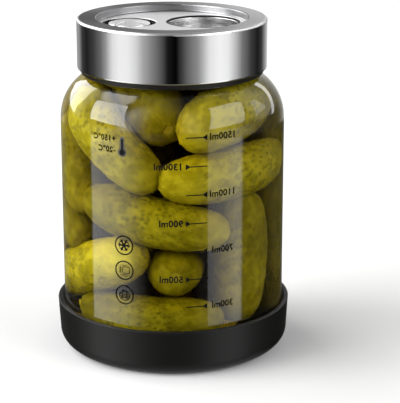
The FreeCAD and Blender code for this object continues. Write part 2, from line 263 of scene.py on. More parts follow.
# Glass jar: one blown body of clear glass with a domed shoulder and a plain neck. Light passes through it to
# what it holds, and where brine wets its inside the glass has no shine of its own.
def see_through(name, colour, bending, shade, **values):
    """A clear finish whose shadow is only a faint tint, so that light reaches what is inside."""
    made = new_finish(name, colour, 0.0, IOR=bending, Transmission_Weight=1.0, **values)
    tree = made.node_tree
    clear = add_node(tree, "ShaderNodeBsdfTransparent")
    clear.inputs["Color"].default_value = (*shade, 1)
    path = add_node(tree, "ShaderNodeLightPath")
    mixed = add_node(tree, "ShaderNodeMixShader")
    feed(tree, mixed.inputs[0], path.outputs["Is Shadow Ray"])
    feed(tree, mixed.inputs[1], tree.nodes["Principled BSDF"].outputs[0])
    feed(tree, mixed.inputs[2], clear.outputs[0])
    tree.links.new(mixed.outputs[0], tree.nodes["Material Output"].inputs["Surface"])
    return made


no_sheen = (0, 0, 0, 1)
glass_colour, glass_bending = (0.985, 0.99, 0.985), 1.5
glass = see_through("clear_glass", glass_colour, glass_bending, (0.95, 0.96, 0.95))
wet_glass = see_through("clear_glass_wet", glass_colour, glass_bending, (0.97, 0.975, 0.97),
                        Specular_Tint=no_sheen)
jar = cad["glass_jar"]
give_finish(jar, glass, wet_glass)
brine_low, brine_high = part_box("brine")
jar_floor_depth, brine_margin = 0.02, 0.0005
faces_in, faces_up = -0.02, 0.5
for face in jar.data.polygons:
    middle = face.center
    outward = Vector((middle.x, middle.y, 0)).normalized()
    wall_inside = face.normal.dot(outward) < faces_in
    floor_inside = face.normal.z > faces_up and middle.z < brine_low.z + jar_floor_depth
    if (wall_inside or floor_inside) and brine_low.z - brine_margin < middle.z < brine_high.z:
        face.material_index = 1
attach(jar, "root")


# Brine: pale yellow pickling liquid that fills the jar to just under the lid. It has the shape of the inside
# of the glass and reaches a little way into it, so that no air shows between the two.
def merged_copy(node_name, new_name):
    made = cad[node_name].copy()
    made.data = cad[node_name].data.copy()
    made.name = new_name
    made.parent = None
    for key in list(made.keys()):
        del made[key]
    scene.collection.objects.link(made)
    work = bmesh.new()
    work.from_mesh(made.data)
    bmesh.ops.remove_doubles(work, verts=work.verts, dist=1e-6)
    bmesh.ops.recalc_face_normals(work, faces=work.faces)
    work.to_mesh(made.data)
    work.free()
    return made


brine = merged_copy("brine", "brine_fill")
into_glass = 0.0006
# its surface grows sideways alone, and less so near the middle
surface_band, surface_middle = 0.0004, 0.04
for vertex in brine.data.vertices:
    outward = Vector(vertex.normal)
    if vertex.co.z > brine_high.z - surface_band:
        flat = Vector((vertex.co.x, vertex.co.y, 0))
        outward = flat / max(hypot(vertex.co.x, vertex.co.y), surface_middle)
    vertex.co += outward * into_glass
brine.data.shade_smooth()
liquid = see_through("brine_liquid", (0.995, 0.99, 0.95), 1.34, (0.97, 0.97, 0.93), Specular_Tint=no_sheen)
soak = add_node(liquid.node_tree, "ShaderNodeVolumeAbsorption")
soak.inputs["Color"].default_value = (0.80, 0.72, 0.05, 1)
soak.inputs["Density"].default_value = 42
liquid.node_tree.links.new(soak.outputs[0], liquid.node_tree.nodes["Material Output"].inputs["Volume"])
give_finish(brine, liquid)
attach(brine, "root")
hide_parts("brine")


# Gherkins: whole pickled gherkins packed into the jar, each made by one node tree from its own length,
# thickness, bend, taper and seed: a blunt cucumber body with lumps, faint ribs, warts and two ends.
def new_tree(name, wanted):
    tree = bpy.data.node_groups.new(name, "GeometryNodeTree")
    tree.interface.new_socket("Geometry", in_out="INPUT", socket_type="NodeSocketGeometry")
    for title, kind, value in wanted:
        socket = tree.interface.new_socket(title, in_out="INPUT", socket_type="NodeSocket" + kind)
        if value is not None:
            socket.default_value = value
    tree.interface.new_socket("Geometry", in_out="OUTPUT", socket_type="NodeSocketGeometry")
    return tree


def made_by(tree, name, settings):
    """A plain mesh object made by the tree with these inputs."""
    made = new_mesh(name, [], [])
    modifier = made.modifiers.new("made", "NODES")
    modifier.node_group = tree
    for item in tree.interface.items_tree:
        if item.item_type == "SOCKET" and item.in_out == "INPUT" and item.name in settings:
            modifier[item.identifier] = settings[item.name]
    shown = made.evaluated_get(bpy.context.evaluated_depsgraph_get())
    mesh = bpy.data.meshes.new_from_object(shown)
    made.modifiers.clear()
    made.data = mesh
    return made


def join(objects, name):
    for one in bpy.context.view_layer.objects:
        one.select_set(False)
    with bpy.context.temp_override(
        active_object=objects[0],
        selected_objects=objects,
        selected_editable_objects=objects,
    ):
        bpy.ops.object.join()
    objects[0].name = name
    return objects[0]


def plus(tree, first, *others):
    for other in others:
        first = work_out(tree, "ADD", first, other)
    return first


def point_at(tree, *parts):
    made = add_node(tree, "ShaderNodeCombineXYZ")
    for place, value in enumerate(parts):
        feed(tree, made.inputs[place], value)
    return made.outputs[0]


def position(tree):
    return add_node(tree, "GeometryNodeInputPosition").outputs[0]


def moved(tree, shape, place=None, shift=None):
    made = add_node(tree, "GeometryNodeSetPosition")
    feed(tree, made.inputs["Geometry"], shape)
    feed(tree, made.inputs["Position"], place)
    feed(tree, made.inputs["Offset"], shift)
    return made.outputs[0]


def end_tree(tree, shape, finish):
    """The last nodes of every tree: real faces with their finish."""
    real = add_node(tree, "GeometryNodeRealizeInstances")
    feed(tree, real.inputs[0], shape)
    painted = add_node(tree, "GeometryNodeSetMaterial")
    feed(tree, painted.inputs["Geometry"], real.outputs[0])
    feed(tree, painted.inputs["Material"], finish)
    tree.links.new(painted.outputs[0], add_node(tree, "NodeGroupOutput").inputs[0])


def noise(tree, vector, scale, detail):
    made = add_node(tree, "ShaderNodeTexNoise", noise_dimensions="3D")
    feed(tree, made.inputs["Vector"], vector)
    made.inputs["Scale"].default_value = scale
    made.inputs["Detail"].default_value = detail
    return made.outputs[0]


def from_spots(tree, vector, scale):
    """How far it is to the nearest of many strewn spots."""
    made = add_node(tree, "ShaderNodeTexVoronoi", voronoi_dimensions="3D", feature="F1")
    feed(tree, made.inputs["Vector"], vector)
    made.inputs["Scale"].default_value = scale
    return made.outputs["Distance"]


gherkin = new_tree("gherkin", [
    ("Length", "Float", 0.075), ("Thickness", "Float", 0.028), ("Bend", "Float", 0.0),
    ("Taper", "Float", 0.0), ("Seed", "Float", 0.0), ("Wart Height", "Float", 0.0006),
    # the tone and the shade along the body carry painted shade as well as each gherkin's own colour
    ("Tone", "Float", 0.5), ("Fade", "Float", 0.0), ("End Marks", "Float", 1.0),
    ("Round", "Int", 60), ("Along", "Int", 60), ("Skin", "Material", None),
])
given = add_node(gherkin, "NodeGroupInput").outputs


def g_work(operation, first, second=None, third=None):
    return work_out(gherkin, operation, first, second, third)


def g_store(shape, name, value, kind):
    made = add_node(gherkin, "GeometryNodeStoreNamedAttribute", data_type=kind, domain="POINT")
    feed(gherkin, made.inputs["Geometry"], shape)
    made.inputs["Name"].default_value = name
    feed(gherkin, made.inputs["Value"], value)
    return made.outputs[0]


# body: a ball blown up to a barrel with blunt ends, then given soft lumps, three faint ribs and a taper
blunt = 3.0
seed_step = 0.37
lump_scale, lump_size = 26, 0.14
rib_count, rib_size = 3, 0.022
ball = add_node(gherkin, "GeometryNodeMeshUVSphere")
feed(gherkin, ball.inputs["Segments"], given["Round"])
feed(gherkin, ball.inputs["Rings"], given["Along"])
x, y, along = parts_of(gherkin, position(gherkin))
across = g_work("SQRT", plus(gherkin, times(gherkin, x, x), times(gherkin, y, y)))
corner = plus(gherkin, g_work("POWER", across, blunt), g_work("POWER", g_work("ABSOLUTE", along), blunt))
swell = g_work("POWER", corner, -1 / blunt)
half_thick = times(gherkin, given["Thickness"], 0.5)
half_long = times(gherkin, given["Length"], 0.5)
flat_x = times(gherkin, x, swell, half_thick)
flat_y = times(gherkin, y, swell, half_thick)
flat_z = times(gherkin, along, swell, half_long)
own_x = plus(gherkin, flat_x, times(gherkin, given["Seed"], seed_step))
rest = point_at(gherkin, own_x, flat_y, flat_z)
lumps = g_work("MULTIPLY_ADD", noise(gherkin, rest, lump_scale, 1), lump_size, -lump_size / 2)
rib_turn = g_work("MULTIPLY_ADD", g_work("ARCTAN2", y, x), rib_count, given["Seed"])
ribs = times(gherkin, g_work("COSINE", rib_turn), rib_size)
narrowing = g_work("MULTIPLY_ADD", along, given["Taper"], 1)
fat = times(gherkin, narrowing, plus(gherkin, lumps, ribs, 1))
# ends: a sunk round scar with a low lip at the flower end and a small stub at the stem end
scar_edge, scar_depth = (0.0032, 0.0018), 0.0012
lip_radius, lip_width, lip_height = 0.0036, 0.0014, 0.0005
stub_edge, stub_length = (0.0028, 0.0015), 0.0032
from_axis = times(gherkin, across, swell, half_thick)
flower_end = ease(gherkin, along, 0.6, 0.8)
stem_end = ease(gherkin, along, -0.6, -0.8)
from_lip = g_work("ABSOLUTE", g_work("SUBTRACT", from_axis, lip_radius))
scar = times(gherkin, ease(gherkin, from_axis, *scar_edge), flower_end)
lip = times(gherkin, ease(gherkin, from_lip, lip_width, 0), flower_end)
stub = times(gherkin, ease(gherkin, from_axis, *stub_edge), stem_end)
end_shift = plus(gherkin, times(gherkin, scar, -scar_depth), times(gherkin, lip, lip_height),
                 times(gherkin, stub, -stub_length))
end_shift = times(gherkin, end_shift, given["End Marks"])
end_mark = times(gherkin, g_work("MULTIPLY_ADD", stub, 0.8, scar), given["End Marks"])
# each gherkin's tone, darker where it lies in shadow and darker towards one end: painted shade on its own
# colour
tone_here = g_work("MULTIPLY_ADD", times(gherkin, along, given["Fade"]), 0.5, given["Tone"])
body = g_store(ball.outputs["Mesh"], "rest", rest, "FLOAT_VECTOR")
body = g_store(body, "ends", end_mark, "FLOAT")
body = g_store(body, "tone", tone_here, "FLOAT")
body = g_store(body, "round", point_at(gherkin, x, y, along), "FLOAT_VECTOR")
fat_x, fat_y = times(gherkin, flat_x, fat), times(gherkin, flat_y, fat)
body = moved(gherkin, body, point_at(gherkin, fat_x, fat_y, plus(gherkin, flat_z, end_shift)))
# warts: small bumps about 3 mm apart, raised out of the skin
wart_scale, wart_edge = 330, (0.55, 0.08)
kept = add_node(gherkin, "GeometryNodeInputNamedAttribute", data_type="FLOAT_VECTOR")
kept.inputs["Name"].default_value = "rest"
wart = ease(gherkin, from_spots(gherkin, kept.outputs[0], wart_scale), *wart_edge)
raised = add_node(gherkin, "ShaderNodeVectorMath", operation="SCALE")
feed(gherkin, raised.inputs[0], add_node(gherkin, "GeometryNodeInputNormal").outputs[0])
feed(gherkin, raised.inputs["Scale"], times(gherkin, wart, given["Wart Height"]))
body = moved(gherkin, body, shift=raised.outputs[0])
# bend: the body follows a shallow arch towards +X, its ends staying on the axis
bent_x, bent_y, bent_z = parts_of(gherkin, position(gherkin))
span = g_work("SUBTRACT", half_long, half_thick)
share = g_work("DIVIDE", bent_z, span)
arch = times(gherkin, given["Bend"], g_work("SUBTRACT", 1, times(gherkin, share, share)))
slope = g_work("DIVIDE", times(gherkin, given["Bend"], share, -2), span)
steep = g_work("SQRT", g_work("MULTIPLY_ADD", slope, slope, 1))
leaning = g_work("DIVIDE", times(gherkin, bent_x, slope), steep)
body = moved(gherkin, body, point_at(gherkin, plus(gherkin, arch, g_work("DIVIDE", bent_x, steep)), bent_y,
                                     g_work("SUBTRACT", bent_z, leaning)))
smooth = add_node(gherkin, "GeometryNodeSetShadeSmooth")
feed(gherkin, smooth.inputs["Geometry"], body)
end_tree(gherkin, smooth.outputs[0], given["Skin"])

# skin: yellow green to olive and mottled, with small dark dots, faint streaks at the ends and pale end marks,
# and darker overall as painted shade where a gherkin lies in shadow
skin = new_finish("gherkin_skin", (0.4, 0.36, 0.05), 0.45, Specular_IOR_Level=0.03)
tree = skin.node_tree
shader = tree.nodes["Principled BSDF"]


def stored(name, output):
    return add_node(tree, "ShaderNodeAttribute", attribute_name=name).outputs[output]


def mix_colours(share, first, second):
    made = add_node(tree, "ShaderNodeMix", data_type="RGBA")
    feed(tree, made.inputs[0], share)
    for socket, value in ((made.inputs[6], first), (made.inputs[7], second)):
        if isinstance(value, tuple):
            value = (*value, 1)
        feed(tree, socket, value)
    return made.outputs[2]


place = stored("rest", "Vector")
round_x, round_y, along = parts_of(tree, stored("round", "Vector"))
to_end = work_out(tree, "ABSOLUTE", along)
# the stored tone holds painted shade as well as the gherkin's own colour, so the coat is darker where it lies
# in shadow
tone = stored("tone", "Fac")
deep = mix_colours(tone, (0.070, 0.057, 0.0005), (0.236, 0.198, 0.003))
light = mix_colours(tone, (0.156, 0.132, 0.002), (0.462, 0.395, 0.016))
patches = ease(tree, noise(tree, place, 55, 2), 0.36, 0.66)
small_patches = ease(tree, noise(tree, place, 190, 3), 0.40, 0.62)
coat = mix_colours(blend_numbers(tree, 0.45, patches, small_patches), deep, light)
from_dots = from_spots(tree, place, 400)
dotted = ease(tree, to_end, 0.75, 0.4)
dot_strength = work_out(tree, "MULTIPLY_ADD", ease(tree, along, 0.7, -0.3), 0.42, 0.16)
dots = times(tree, ease(tree, from_dots, 0.62, 0.12), dotted, dot_strength)
coat = mix_colours(dots, coat, (0.06, 0.053, 0.001))
girth = work_out(tree, "SQRT", work_out(tree, "SUBTRACT", 1.0001, work_out(tree, "POWER", along, 2)))
streak_count, streak_length = 6, 0.8
streak_x = times(tree, work_out(tree, "DIVIDE", round_x, girth), streak_count)
streak_y = times(tree, work_out(tree, "DIVIDE", round_y, girth), streak_count)
streak_noise = noise(tree, point_at(tree, streak_x, streak_y, times(tree, along, streak_length)), 1, 1)
streaks = times(tree, ease(tree, streak_noise, 0.48, 0.66), ease(tree, to_end, 0.55, 0.9), 0.08)
coat = mix_colours(streaks, coat, (0.52, 0.46, 0.05))
coat = mix_colours(times(tree, stored("ends", "Fac"), 0.75), coat, (0.60, 0.50, 0.07))
tree.links.new(coat, shader.inputs["Base Color"])
bump = add_node(tree, "ShaderNodeBump")
bump.inputs["Strength"].default_value = 1.0
bump.inputs["Distance"].default_value = 0.0005
dot_relief = times(tree, dotted, ease(tree, from_dots, 0.6, 0.1))
fine_relief = times(tree, noise(tree, place, 420, 2), 0.35)
feed(tree, bump.inputs["Height"], work_out(tree, "ADD", dot_relief, fine_relief))
tree.links.new(bump.outputs[0], shader.inputs["Normal"])

# each gherkin: the two ends of its core line (degrees to the right of the front, millimetres up, and
# millimetres out from the jar's axis), thickness and outward bend in millimetres, tone (its own colour
# together with painted shade where it lies in shadow, lowest for the hidden ones at the back), seed, how
# firmly it stays, and how much paler its flower end is than its stem end, which is painted shade
packed = [
    ((-63, 137, 45), (-26, 117, 46), 29, 2, 0.7, 1, 1.0, -0.35),
    ((-66, 151, 21), (-20, 141, 34), 29, 0, 0.1, 2, 1.0, 0.1),
    ((60, 148, 43), (24, 140.5, 45), 29, 2, 0.68, 3, 1.0, 0.8),
    ((69, 113.5, 45), (13, 110.5, 46), 30, 5, 0.86, 4, 1.0, 0.7),
    ((-39, 92, 47), (13, 80, 46), 29, 6, 0.46, 5, 1.0, 0.6),
    ((-95, 42.5, 45), (-33, 60, 46), 29, 5, 0.98, 6, 1.0, 0.2),
    ((6, 55, 6), (1, 57, 40), 29, 0, 0.2, 7, 1.0, 0.0),
    ((-48, 28, 46), (6, 31, 46), 28, 6, 0.15, 8, 1.0, 0.35),
    ((50, 82, 43), (50, 40, 43), 31, 1, 0.35, 9, 1.0, 0.1),
    ((90, 88, 46), (96, 34, 46), 28, 1, 0.05, 10, 0.3, 0.1),
    ((-83, 118, 46), (-86, 96, 46), 28, 1, 0.55, 11, 0.6, 0.1),
    ((-92, 84, 46), (-87, 70, 46), 27, 1, 0.42, 12, 0.6, 0.1),
    ((100, 140, 42), (108, 108, 45), 28, 1, 0.1, 13, 0.2, 0.2),
    ((-112, 152, 34), (-100, 132, 40), 27, 1, 0.4, 14, 0.2, 0.2),
    ((134, 84, 45), (140, 32, 45), 29, 1, 0.5, 15, 0.1, 0.2),
    ((-134, 42, 45), (-178, 30, 45), 29, 4, 0.6, 16, 0.1, 0.2),
    ((-128, 74, 45), (-178, 88, 45), 29, 4, 0.7, 17, 0.1, 0.2),
    ((172, 44, 45), (178, 66, 45), 28, 1, 0.5, 18, 0.1, 0.2),
    ((-122, 114, 45), (-168, 128, 45), 29, 4, 0.6, 19, 0.1, 0.2),
    ((144, 114, 45), (176, 124, 45), 28, 3, 0.5, 20, 0.1, 0.2),
    ((130, 156, 32), (176, 156, 32), 26, 3, 0.5, 21, 0.1, 0.2),
    ((-70, 88, 14), (-90, 36, 16), 28, 0, 0.0, 22, 0.0, 0.2),
    ((100, 84, 15), (110, 36, 16), 28, 0, 0.0, 23, 0.0, 0.2),
    ((-90, 146, 14), (-60, 112, 14), 27, 0, 0.0, 24, 0.0, 0.2),
    ((90, 144, 12), (120, 108, 16), 27, 0, 0.0, 25, 0.0, 0.2),
]
# the first twelve show from the front and get a finer mesh, and one of them points its end there
in_view, end_on = 12, 6
tapers = (-0.03, 0.03, 0.04, -0.02)
ends_past_core = 0.003

# the room inside the glass: its radius in the body and the neck, and the heights where the dome joins them
body_room, neck_room = 0.0622, 0.0472
dome_start, dome_end = 0.1368, 0.162
dome_curve = 1.7
floor_up, highest_up = 0.0152, 0.1700
from_wall = 0.0009


def to_point(turned, up, out):
    return np.array([out * sin(radians(turned)), -out * cos(radians(turned)), up]) / 1000


def room_at(level):
    share = np.clip((level - dome_start) / (dome_end - dome_start), 0, 1)
    return neck_room + (body_room - neck_room) * np.sqrt(np.maximum(0, 1 - share ** dome_curve))


def outward_of(starts, finishes):
    """The way each core line bends: out from the jar's axis and square to the line."""
    middle = (starts + finishes) / 2
    line = finishes - starts
    line = line / np.linalg.norm(line, axis=1)[:, None]
    out = middle * (1, 1, 0)
    out = out - line * (out * line).sum(1)[:, None]
    return out / np.maximum(np.linalg.norm(out, axis=1), 1e-6)[:, None]


first_ends = np.array([to_point(*row[0]) for row in packed])
last_ends = np.array([to_point(*row[1]) for row in packed])
radius = np.array([row[2] for row in packed]) / 2000
bend = np.array([row[3] for row in packed]) / 1000
firmness = 40
give = 1 / np.array([1 + firmness * row[6] for row in packed])
core_length = np.linalg.norm(last_ends - first_ends, axis=1)

# packing: each gherkin is a row of beads. Beads that press more than 3 % into each other push apart, those of
# a firmly set gherkin least, and the wall, the floor and the space under the lid keep them in.
rounds = 160
touching = 0.97
bead_step, room_step, share_of_move = 0.35, 0.8, 3
steps = np.linspace(0, 1, 9)
to_first, to_last = (1 - steps)[None, :, None], steps[None, :, None]
arch_share = (4 * steps * (1 - steps))[None, :, None]
own = np.repeat(np.arange(len(packed)), len(steps))
apart = own[:, None] != own[None, :]
bead_radius = np.repeat(radius, len(steps))
bead_give = np.repeat(give, len(steps))
needed = touching * (bead_radius[:, None] + bead_radius[None, :])
weight = bead_give[:, None] / (bead_give[:, None] + bead_give[None, :])
for attempt in range(rounds):
    out = outward_of(first_ends, last_ends)
    line = first_ends[:, None] * to_first + last_ends[:, None] * to_last
    beads = (line + out[:, None] * bend[:, None, None] * arch_share).reshape(-1, 3)
    gap = beads[:, None] - beads[None, :]
    distance = np.linalg.norm(gap, axis=2) + 1e-9
    push = np.where(apart & (distance < needed), (needed - distance) / distance, 0)
    move = (gap * (push * weight)[:, :, None]).sum(1) * bead_step
    wall = room_at(beads[:, 2]) - bead_radius - from_wall
    flat = np.hypot(beads[:, 0], beads[:, 1])
    too_far = np.maximum(0, flat - wall)
    move[:, :2] -= beads[:, :2] / np.maximum(flat, 1e-6)[:, None] * too_far[:, None] * room_step
    move[:, 2] += np.maximum(0, floor_up + bead_radius - beads[:, 2]) * room_step
    move[:, 2] -= np.maximum(0, beads[:, 2] + bead_radius - highest_up) * room_step
    move = move.reshape(len(packed), len(steps), 3)
    first_ends = first_ends + (move * to_first).sum(1) / share_of_move
    last_ends = last_ends + (move * to_last).sum(1) / share_of_move
    middle = (first_ends + last_ends) / 2
    line = last_ends - first_ends
    line = line / np.linalg.norm(line, axis=1)[:, None] * core_length[:, None] / 2
    first_ends = middle - line
    last_ends = middle + line

gherkins = []
outs = outward_of(first_ends, last_ends)
for index, row in enumerate(packed):
    made = made_by(gherkin, "gherkin_%02d" % index, {
        "Length": float(core_length[index] + 2 * radius[index] + ends_past_core),
        "Thickness": float(2 * radius[index]),
        "Bend": float(bend[index]),
        "Taper": tapers[index % len(tapers)],
        "Seed": float(row[5]),
        "Wart Height": 0.0006,
        "Tone": row[4],
        "Fade": row[7],
        "End Marks": 0.2 if index == end_on else 1.0,
        "Round": 76 if index < in_view else 40,
        "Along": 74 if index < in_view else 40,
        "Skin": skin,
    })
    up = Vector(last_ends[index] - first_ends[index]).normalized()
    side = Vector(outs[index])
    turn_to = Matrix((side, up.cross(side), up)).transposed().to_4x4()
    turn_to.translation = Vector((first_ends[index] + last_ends[index]) / 2)
    made.data.transform(turn_to)
    gherkins.append(made)
gherkins = join(gherkins, "gherkins")
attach(gherkins, "root")


# Marks on the glass: one thin black print, read from inside the jar, so every word and sign is turned over.
# Seven level marks come from one node tree; the figures, the thermometer and three ringed signs are stamped.
wall_and_gap = 0.0029
print_radius = -brine_low.x + wall_and_gap
ink_depth, ink_lift = 0.00006, 0.00006
letter_weight, letter_space = 0.03, 1.05
longest_piece = 1.2
ink = new_finish("print_black", (0.004, 0.004, 0.004), 0.6, Specular_IOR_Level=0.1)
grey_ink = new_finish("print_grey", (0.055, 0.052, 0.045), 0.5)
marks = []


def wrapped(mesh, turned, up, turned_over):
    """Bends a flat mesh round the glass: X runs to the right, Y up and Z out of the wall."""
    for vertex in mesh.vertices:
        along_wall = -vertex.co.x if turned_over else vertex.co.x
        angle = radians(turned) + along_wall / print_radius
        out = print_radius + ink_lift + vertex.co.z
        vertex.co = (out * sin(angle), -out * cos(angle), up + vertex.co.y)


def stamp(curve, print_ink, turned, up, turned_over=False):
    """Adds a flat curve to the marks, this many degrees to the right and this far up."""
    shape = bpy.data.objects.new(curve.name, curve)
    scene.collection.objects.link(shape)
    mesh = bpy.data.meshes.new_from_object(shape.evaluated_get(bpy.context.evaluated_depsgraph_get()))
    bpy.data.objects.remove(shape)
    wrapped(mesh, turned, up, turned_over)
    work = bmesh.new()
    work.from_mesh(mesh)
    bmesh.ops.remove_doubles(work, verts=work.verts, dist=2e-7)
    bmesh.ops.recalc_face_normals(work, faces=work.faces)
    work.to_mesh(mesh)
    work.free()
    made = bpy.data.objects.new(curve.name, mesh)
    give_finish(made, print_ink)
    scene.collection.objects.link(made)
    marks.append(made)


def draw(name, outlines, turned, up, print_ink=ink, lift=0.0):
    """Stamps a filled sign from closed outlines in millimetres; an outline inside another is a hole."""
    curve = bpy.data.curves.new(name, "CURVE")
    curve.dimensions = "2D"
    curve.fill_mode = "BOTH"
    curve.extrude = ink_depth / 2
    for outline in outlines:
        spline = curve.splines.new("POLY")
        spline.points.add(len(outline) - 1)
        for point, (u, v) in zip(spline.points, outline):
            point.co = (u / 1000, v / 1000, lift / 1000, 1)
        spline.use_cyclic_u = True
    stamp(curve, print_ink, turned, up)


def write(name, text, size, turned, up):
    """Stamps words, their height in millimetres, that start here and run to the left."""
    curve = bpy.data.curves.new(name, "FONT")
    curve.body = text
    curve.size = size / 1000
    curve.resolution_u = 3
    curve.extrude = ink_depth / 2
    curve.align_y = "CENTER"
    curve.offset = size * letter_weight / 1000
    curve.space_character = letter_space
    stamp(curve, ink, turned, up, turned_over=True)


def disc(u, v, size, count=40):
    return [(u + size * cos(2 * pi * k / count), v + size * sin(2 * pi * k / count)) for k in range(count)]


def bar(u1, v1, u2, v2, width):
    """A straight stroke with square ends, its long sides cut up so that it bends with the wall."""
    length = hypot(u2 - u1, v2 - v1)
    du, dv = (u2 - u1) / length, (v2 - v1) / length
    pieces = max(1, int(length / longest_piece))
    near = [(u1 + du * length * k / pieces, v1 + dv * length * k / pieces) for k in range(pieces + 1)]
    side_u, side_v = -dv * width / 2, du * width / 2
    return [(u - side_u, v - side_v) for u, v in near] + [(u + side_u, v + side_v) for u, v in reversed(near)]


def rounded_box(u1, v1, u2, v2, corner):
    points = []
    for cu, cv, start in ((u2, v1, -90), (u2, v2, 0), (u1, v2, 90), (u1, v1, 180)):
        su = corner if cu == u1 else -corner
        sv = corner if cv == v1 else -corner
        for step in range(0, 91, 15):
            a = radians(start + step)
            points.append((cu + su + corner * cos(a), cv + sv + corner * sin(a)))
    return points


# level marks: a fine line with an arrow head at one end, every second one turned round
level_count, level_low, level_step, level_turn = 7, 0.0411, 0.01628, 11.6
line_length, line_width, line_shift = 0.0095, 0.0006, -0.0013
head_radius, head_shift, head_height = 0.0019, 0.0051, 0.95
level_tree = new_tree("level_marks", [
    ("Count", "Int", level_count), ("First", "Float", level_low), ("Step", "Float", level_step),
    ("Radius", "Float", print_radius), ("Turn", "Float", radians(level_turn)), ("Ink", "Material", None),
])
asked = add_node(level_tree, "NodeGroupInput").outputs
line_up = add_node(level_tree, "GeometryNodeMeshLine")
feed(level_tree, line_up.inputs["Count"], asked["Count"])
feed(level_tree, line_up.inputs["Start Location"], point_at(level_tree, 0, 0, asked["First"]))
feed(level_tree, line_up.inputs["Offset"], point_at(level_tree, 0, 0, asked["Step"]))
stroke = add_node(level_tree, "GeometryNodeMeshCube")
stroke.inputs["Size"].default_value = (line_length, ink_depth, line_width)
stroke.inputs["Vertices X"].default_value = 16
stroke_place = add_node(level_tree, "GeometryNodeTransform")
stroke_place.inputs["Translation"].default_value = (line_shift, 0, 0)
feed(level_tree, stroke_place.inputs["Geometry"], stroke.outputs["Mesh"])
head = add_node(level_tree, "GeometryNodeMeshCylinder")
head.inputs["Vertices"].default_value = 3
head.inputs["Radius"].default_value = head_radius
head.inputs["Depth"].default_value = ink_depth * 1.1
head_place = add_node(level_tree, "GeometryNodeTransform")
head_place.inputs["Translation"].default_value = (head_shift, 0, 0)
head_place.inputs["Rotation"].default_value = (radians(90), radians(180), 0)
head_place.inputs["Scale"].default_value = (1.0, 1.0, head_height)
feed(level_tree, head_place.inputs["Geometry"], head.outputs["Mesh"])
one_mark = add_node(level_tree, "GeometryNodeJoinGeometry")
level_tree.links.new(stroke_place.outputs[0], one_mark.inputs[0])
level_tree.links.new(head_place.outputs[0], one_mark.inputs[0])
odd = work_out(level_tree, "MODULO", add_node(level_tree, "GeometryNodeInputIndex").outputs[0], 2)
all_marks = add_node(level_tree, "GeometryNodeInstanceOnPoints")
feed(level_tree, all_marks.inputs["Points"], line_up.outputs[0])
feed(level_tree, all_marks.inputs["Instance"], one_mark.outputs[0])
half_turn = point_at(level_tree, 0, 0, times(level_tree, odd, pi))
level_tree.links.new(half_turn, all_marks.inputs["Rotation"])
real_marks = add_node(level_tree, "GeometryNodeRealizeInstances")
feed(level_tree, real_marks.inputs[0], all_marks.outputs[0])
print_x, print_y, print_z = parts_of(level_tree, position(level_tree))
at_turn = plus(level_tree, work_out(level_tree, "DIVIDE", print_x, asked["Radius"]), asked["Turn"])
at_radius = work_out(level_tree, "SUBTRACT", plus(level_tree, asked["Radius"], ink_lift), print_y)
to_right = times(level_tree, at_radius, work_out(level_tree, "SINE", at_turn))
to_back = times(level_tree, at_radius, times(level_tree, work_out(level_tree, "COSINE", at_turn), -1))
bent = moved(level_tree, real_marks.outputs[0], point_at(level_tree, to_right, to_back, print_z))
end_tree(level_tree, bent, asked["Ink"])
marks.append(made_by(level_tree, "level_marks", {
    "Count": level_count, "First": level_low, "Step": level_step, "Radius": print_radius,
    "Turn": radians(level_turn), "Ink": ink,
}))

# figures beside the marks: right of every first one, left of every second one, the short ones set nearer
figure_size = 5.2
right_start, short_right_start, left_start = 32.4, 31.2, 4.9
for place in range(level_count):
    volume = 300 + 200 * place
    start = left_start
    if place % 2 == 0:
        start = right_start if volume > 1000 else short_right_start
    write("figures_%d" % place, "%dml" % volume, figure_size, start, level_low + level_step * place)

# thermometer with its two temperatures
tube_turn, bulb_up, tube_up = -25.2, 0.1295, 8.2
bulb_case, tube_case = 2.6, 1.3
bulb_size, tube_width, temperature_size = 1.7, 1.15, 4.6
case = [(bulb_case * sin(radians(a)), -bulb_case * cos(radians(a))) for a in range(-140, 141, 14)]
case.append((tube_case, tube_up - 1.0))
for a in range(0, 181, 20):
    case.append((tube_case * cos(radians(a)), tube_up - 0.6 + tube_case * sin(radians(a))))
case.append((-tube_case, tube_up - 1.0))
draw("thermometer_case", [case], tube_turn, bulb_up, grey_ink)
draw("thermometer_tube", [bar(0, 0, 0, tube_up - 0.7, tube_width)], tube_turn, bulb_up, lift=0.05)
draw("thermometer_bulb", [disc(0, 0, bulb_size)], tube_turn, bulb_up, lift=0.06)
write("hot", "+150\u00b0C", temperature_size, -28.6, 0.1366)
write("cold", "-20\u00b0C", temperature_size, -28.9, 0.1303)

# three signs in rings: a snowflake, an oven and a dish with its rack
sign_turn, flake_up, oven_up, dish_up = -25, 0.0760, 0.0613, 0.0467
ring_out, ring_in = 5.75, 4.95
for name, up in (("cold_ring", flake_up), ("oven_ring", oven_up), ("dish_ring", dish_up)):
    draw(name, [disc(0, 0, ring_out, 72), disc(0, 0, ring_in, 72)], sign_turn, up)
low_arm, high_arm, arm_width = -3.5, 3.7, 1.0
twig_root, twig_length, twig_width = 2.2, 1.5, 0.6
for spoke in range(3):
    a = radians(60 * spoke)
    arm = bar(low_arm * cos(a), low_arm * sin(a), high_arm * cos(a), high_arm * sin(a), arm_width)
    draw("flake_arm", [arm], sign_turn, flake_up)
    for end in (-1, 1):
        for turn_by in (-60, 60):
            b = a + radians(turn_by)
            root_u, root_v = end * twig_root * cos(a), end * twig_root * sin(a)
            tip_u, tip_v = root_u + end * twig_length * cos(b), root_v + end * twig_length * sin(b)
            twig = bar(root_u, root_v, tip_u, tip_v, twig_width)
            draw("flake_twig", [twig], sign_turn, flake_up)
oven = [rounded_box(-1.2, -1.8, 3.4, 2.3, 0.8), rounded_box(-0.8, -1.4, 3.0, 1.9, 0.5)]
draw("oven_door", oven, sign_turn, oven_up)
